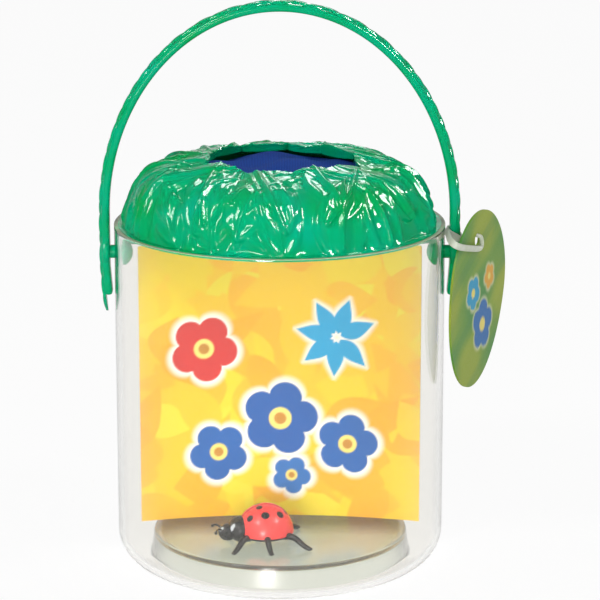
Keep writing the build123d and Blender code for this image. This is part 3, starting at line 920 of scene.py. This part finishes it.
def tagPrint(x, y):  # slanting blades of grass over broad patches, and a few blossoms
    lean = math.radians(-35)
    down, over = x * math.cos(lean) - y * math.sin(lean), x * math.sin(lean) + y * math.cos(lean)
    blades = np.sin(0.34 * over + 1.1 * np.sin(0.06 * down)) + 0.7 * np.sin(0.61 * over + 0.09 * down + 1.3)
    patch = np.sin(0.13 * x + 0.1 * y + 0.6) + np.sin(-0.11 * x + 0.16 * y + 2)
    colours = np.zeros(x.shape + (3,)) + np.array(linear("#6c9838")[:3])
    colours = layOver(colours, softStep(patch, -0.2, 1.6) * 0.9, "#98a832")
    colours = layOver(colours, softStep(-patch, 0.0, 1.7) * 0.9, "#4a8e42")
    colours = layOver(colours, softStep(blades, 0.2, 1.5) * 0.35, "#a4b238")
    colours = layOver(colours, softStep(-blades, 0.4, 1.5) * 0.3, "#38844a")
    for centre, radius, tone in tagShape["blossoms"]:
        inside, far = blossomEdge(x, y, centre, radius, radius)
        colours = layOver(colours, softStep(inside, -1.8, -0.1) * 0.75, "#d9dcb0")
        colours = layOver(colours, softStep(inside, -0.25, 0.25), tone)
        colours = layOver(colours, softStep(radius * 0.28 - far, -0.25, 0.25), "#e8d873")
    return colours


def makeTag():
    s = tagShape
    turns = roundTurns(s["columns"])
    lean = math.radians(-s["lean"])
    eggX = s["width"] / 2 * np.cos(turns)
    eggY = np.where(np.sin(turns) > 0, s["upper"], s["length"] - s["upper"]) * np.sin(turns)
    contour = np.column_stack([
        s["shift"] + eggX * math.cos(lean) - eggY * math.sin(lean),
        eggX * math.sin(lean) + eggY * math.cos(lean) - s["drop"],
    ])
    start = np.array((0, -s["holeDrop"]))
    away = contour - start
    ring = start + s["hole"] * away / np.linalg.norm(away, axis=1)[:, None]
    share = np.linspace(0, 1, s["rows"]) ** 1.15
    face = ring[None] + (contour - ring)[None] * share[:, None, None]
    turn = math.radians(s["turn"])
    along = np.array((math.cos(turn), math.sin(turn)))
    facing = np.array((along[1], -along[0]))
    points, ink = [], []
    for out, order in ((s["thick"] / 2, 1), (-s["thick"] / 2, -1)):
        plan = face[::order].reshape(-1, 2)
        place = np.array(s["hook"][:2]) + plan[:, :1] * along + out * facing
        points.append(np.column_stack([place, s["hook"][2] + plan[:, 1]]))
        ink.append(tagPrint(plan[:, 0], plan[:, 1]))
    faces = gridFaces(2 * s["rows"], s["columns"], wrapRows=True, flip=True)
    tag = newPiece("hangTag", np.vstack(points), faces, printedTag, "tag", ["tag"])
    paint(tag, np.vstack(ink))


makeTag()
print("tag made")

# Ladybird: wing cases, collar, head and legs, standing on the jar's floor; it faces along X in its own frame
bugShape = {
    "place": (-5, -19, 10.6), "heading": 190, "shell": 9.8, "rise": 4.0, "seam": 0.35,
    "red": "#e8403c", "spot": "#17120f", "seamColour": "#3a0d0a", "black": "#23211f", "white": "#c3c9cd",
    "spots": [  # ahead, aside and size, as shares of the wing cases' radius
        (0.62, 0.45, 0.13), (0.1, 0.62, 0.15), (-0.45, 0.5, 0.14), (0.25, 0.2, 0.12), (-0.7, 0.15, 0.1),
    ],
    "collarPatch": {"centre": (11.9, 3.2, 7.0), "radii": (1.1, 0.75, 1.5), "soft": 0.15},
    "headPatch": {"centre": (15.4, 1.3, 5.9), "radii": (0.9, 0.7, 0.9), "soft": 0.2},
    "feeler": [(15.2, 1.6, 5.6), (17.0, 2.6, 6.6), (17.8, 4.2, 5.6)],
    "legs": [  # hip, knee, ankle and toe
        [(6.5, 5.4, 3.6), (9.0, 8.4, 4.2), (11.2, 10.4, 1.5), (12.6, 11.6, 0.55)],
        [(0.5, 6.0, 3.6), (0.9, 10.2, 4.4), (0.6, 13.0, 1.6), (0.3, 14.8, 0.55)],
        [(-5.0, 5.4, 3.6), (-8.6, 8.6, 4.2), (-11.4, 10.6, 1.5), (-13.4, 11.9, 0.55)],
    ],
}


def bugPlace(points):
    turn = math.radians(bugShape["heading"])
    p = np.asarray(points, float)
    return np.column_stack([
        bugShape["place"][0] + p[:, 0] * math.cos(turn) - p[:, 1] * math.sin(turn),
        bugShape["place"][1] + p[:, 0] * math.sin(turn) + p[:, 1] * math.cos(turn),
        bugShape["place"][2] + p[:, 2],
    ])


def makeWingCases():
    s = bugShape
    unit, faces = revolve([(0, 0)] + arcPoints((0, 0), 1, 0, 90, 70), 160)
    unit = np.array(unit)
    seam = np.exp(-((unit[:, 1] * s["shell"] / s["seam"]) ** 2)) * (unit[:, 0] < 0.8)
    points = unit * (s["shell"] - s["seam"] * seam[:, None]) + np.array((0, 0, s["rise"]))
    points = bugPlace(points)
    shell = newPiece("bugWingCases", points, faces, paintedVinyl, "bug", ["bug_shell"], smoothAngle=60)
    colours = np.zeros((len(unit), 3)) + np.array(linear(s["red"])[:3])
    for ahead, side, size in s["spots"]:
        for hand in (1, -1):
            spot = np.array((ahead, hand * side, math.sqrt(max(0.02, 1 - ahead ** 2 - side ** 2))))
            gap = np.linalg.norm(unit - spot, axis=1)
            colours = layOver(colours, softStep(size - gap, -0.02, 0.02), s["spot"])
    colours = layOver(colours, seam * 0.6, s["seamColour"])
    colours[-2] = linear(s["spot"])[:3]  # the middle of the flat underside
    paint(shell, colours)


def tubePoints(path, radii, columns):  # a tapering limb along a few points
    points = []
    for i, centre in enumerate(path):
        ahead = path[min(i + 1, len(path) - 1)] - path[max(i - 1, 0)]
        ahead /= np.linalg.norm(ahead)
        side = np.cross(ahead, (0, 0, 1))
        side /= np.linalg.norm(side)
        over = np.cross(side, ahead)
        for t in roundTurns(columns):
            points.append(centre + radii[i] * (math.cos(t) * side - math.sin(t) * over))
    return points


def patchShare(ball, centre, radii, soft):  # how pale each place is, for a patch at either side
    share = np.zeros(len(ball))
    for hand in (1, -1):
        gap = np.linalg.norm((ball - np.array(centre) * (1, hand, 1)) / radii, axis=1)
        share = np.maximum(share, softStep(1 - gap, -soft, soft))
    return share


def makeBugBody():
    s = bugShape
    points, faces, colours = [], [], []
    black, white = np.array(linear(s["black"])[:3]), np.array(linear(s["white"])[:3])

    def addBall(centre, radii, rows, columns, patch=None):
        ball, ballFaces = makeBall(centre, radii, rows, columns)
        faces.extend(shifted(ballFaces, len(points)))
        points.extend(ball)
        share = patchShare(ball, **patch) if patch else np.zeros(len(ball))
        colours.extend(black * (1 - share[:, None]) + white * share[:, None])

    def addLimb(joints, hand, first, last, columns):
        path = bowed([(x, hand * y, z) for x, y, z in joints], 3)
        limb = tubePoints(path, np.linspace(first, last, len(path)), columns)
        faces.extend(shifted(tubeFaces(len(path), columns), len(points)))
        points.extend(limb)
        colours.extend(np.tile(black, (len(limb), 1)))

    addBall((0, 0, 3.7), (9.4, 9.3, 2.1), 24, 36)
    addBall((8.9, 0, 5.3), (4.2, 5.7, 4.4), 40, 60, s["collarPatch"])
    addBall((13.2, 0, 4.3), (3.2, 3.4, 2.9), 36, 48, s["headPatch"])
    for hand in (1, -1):
        addBall((14.2, hand * 2.7, 5.1), (0.9, 0.8, 0.9), 12, 16)
        addLimb(s["feeler"], hand, 0.35, 0.3, 8)
        tip = s["feeler"][-1]
        addBall((tip[0], hand * tip[1], tip[2]), (0.55, 0.55, 0.55), 10, 12)
        for leg in s["legs"]:
            addLimb(leg, hand, 1.35, 0.75, 10)
            toe = leg[-1]
            addBall((toe[0], hand * toe[1], 0.6), (1.0, 0.9, 0.6), 12, 16)
    body = newPiece("bugBody", bugPlace(points), faces, paintedVinyl, "bug", ["bug_body"], smoothAngle=60)
    paint(body, colours)


makeWingCases()
makeBugBody()
print("ladybird made")

# Floor, backdrop and light: a white sweep, soft boxes to both sides and in front; sizes here in metres
stageShape = {
    "half": 1.5, "paper": "#f4f4f3", "paperGlow": 0.93, "mirroredGlow": 0.5, "skyLight": 0.4,
    "lamps": [  # name, place, aim, size, power, and whether it lights the gloss alone
        ("keyBox", (-0.62, -0.68, 0.98), (0, 0, 0.13), 0.18, 4.4, False),
        ("rightBox", (0.92, -0.34, 1.0), (0, 0, 0.13), 0.18, 3.6, False),
        ("frontBox", (-0.2, -1.15, 0.17), (0, 0, 0.1), 0.3, 4.1, False),
        ("keyGlint", (-0.62, -0.68, 0.98), (0, 0, 0.13), 0.46, 40.0, True),
        ("rightGlint", (0.92, -0.34, 1.0), (0, 0, 0.13), 0.7, 158.0, True),
        ("backGlint", (0, 1.3, 0.42), (0, 0, 0.14), 0.8, 1.0, True),
        ("topGlint", (0.1, 0.9, 0.85), (0, 0, 0.14), 0.36, 5.0, True),
    ],
    "camera": (0.007, -0.936, 0.3297), "cameraDip": 14.24, "sensor": 36, "focalPixels": 2784, "pixels": 600,
}


def makeFloor():
    half = stageShape["half"]
    corners = [(-half, -half, 0), (half, -half, 0), (half, half, 0), (-half, half, 0)]
    mesh = bpy.data.meshes.new("studioFloor")
    mesh.from_pydata(corners, [], [(0, 1, 2, 3)])
    floor = bpy.data.objects.new("studioFloor", mesh)
    scene.collection.objects.link(floor)
    # Matt paper: keeps the shadow, and is seen as white from the front and through the jar
    paper, tree, shader = startMaterial(
        "studioPaper", {"Base Color": linear(stageShape["paper"]), "Roughness": 0.9}
    )
    rays = addNode(tree, "ShaderNodeLightPath")
    seen = addNode(
        tree, "ShaderNodeMath", {"operation": "MAXIMUM"},
        {0: rays.outputs["Is Camera Ray"], 1: rays.outputs["Is Transmission Ray"]},
    )
    direct = addNode(
        tree, "ShaderNodeMath", {"operation": "MULTIPLY", 1: stageShape["paperGlow"]}, {0: seen.outputs[0]}
    )
    mirrored = addNode(
        tree, "ShaderNodeMath", {"operation": "MULTIPLY", 1: stageShape["mirroredGlow"]},
        {0: rays.outputs["Is Glossy Ray"]},
    )
    share = addNode(
        tree, "ShaderNodeMath", {"operation": "MAXIMUM"}, {0: direct.outputs[0], 1: mirrored.outputs[0]}
    )
    glow = addNode(tree, "ShaderNodeEmission", {"Strength": 1.0})
    mix = addNode(
        tree, "ShaderNodeMixShader", None, {0: share.outputs[0], 1: shader.outputs[0], 2: glow.outputs[0]}
    )
    output = next(n for n in tree.nodes if n.type == "OUTPUT_MATERIAL")
    tree.links.new(mix.outputs[0], output.inputs["Surface"])
    mesh.materials.append(paper)


def makeSky():
    world = bpy.data.worlds.new("studio")
    scene.world = world
    world.use_nodes = True
    tree = world.node_tree
    tree.nodes.clear()
    rays = addNode(tree, "ShaderNodeLightPath")
    seen = addNode(
        tree, "ShaderNodeMath", {"operation": "MAXIMUM"},
        {0: rays.outputs["Is Camera Ray"], 1: rays.outputs["Is Transmission Ray"]},
    )
    strength = addNode(
        tree, "ShaderNodeMapRange", {"To Min": stageShape["skyLight"], "To Max": 1.0},
        {"Value": seen.outputs[0]},
    )
    sky = addNode(tree, "ShaderNodeBackground", {"Color": (1, 1, 1, 1)}, {"Strength": strength.outputs[0]})
    addNode(tree, "ShaderNodeOutputWorld", None, {"Surface": sky.outputs[0]})


def makeLamp(name, place, aim, size, power, glossOnly):
    lampData = bpy.data.lights.new(name, "AREA")
    lampData.shape = "DISK"
    lampData.size = size
    lampData.energy = power
    lamp = bpy.data.objects.new(name, lampData)
    scene.collection.objects.link(lamp)
    lamp.location = place
    lamp.visible_camera = False
    if glossOnly:  # a reflection in the green plastic, and no more
        lamp.visible_diffuse = False
        lamp.visible_transmission = False
        lamp.light_linking.receiver_collection = glossy
    way = np.array(aim) - np.array(place)
    tilt = math.acos(-way[2] / np.linalg.norm(way))
    lamp.rotation_euler = (tilt, 0, math.atan2(way[1], way[0]) - math.pi / 2)


def makeCamera():
    s = stageShape
    cameraData = bpy.data.cameras.new("camera")
    cameraData.sensor_width = s["sensor"]
    cameraData.lens = s["sensor"] * s["focalPixels"] / s["pixels"]
    camera = bpy.data.objects.new("camera", cameraData)
    scene.collection.objects.link(camera)
    camera.location = s["camera"]
    camera.rotation_euler = (math.radians(90 - s["cameraDip"]), 0, 0)
    scene.camera = camera


makeFloor()
makeSky()
for lampValues in stageShape["lamps"]:
    makeLamp(*lampValues)
makeCamera()
print("stage set")
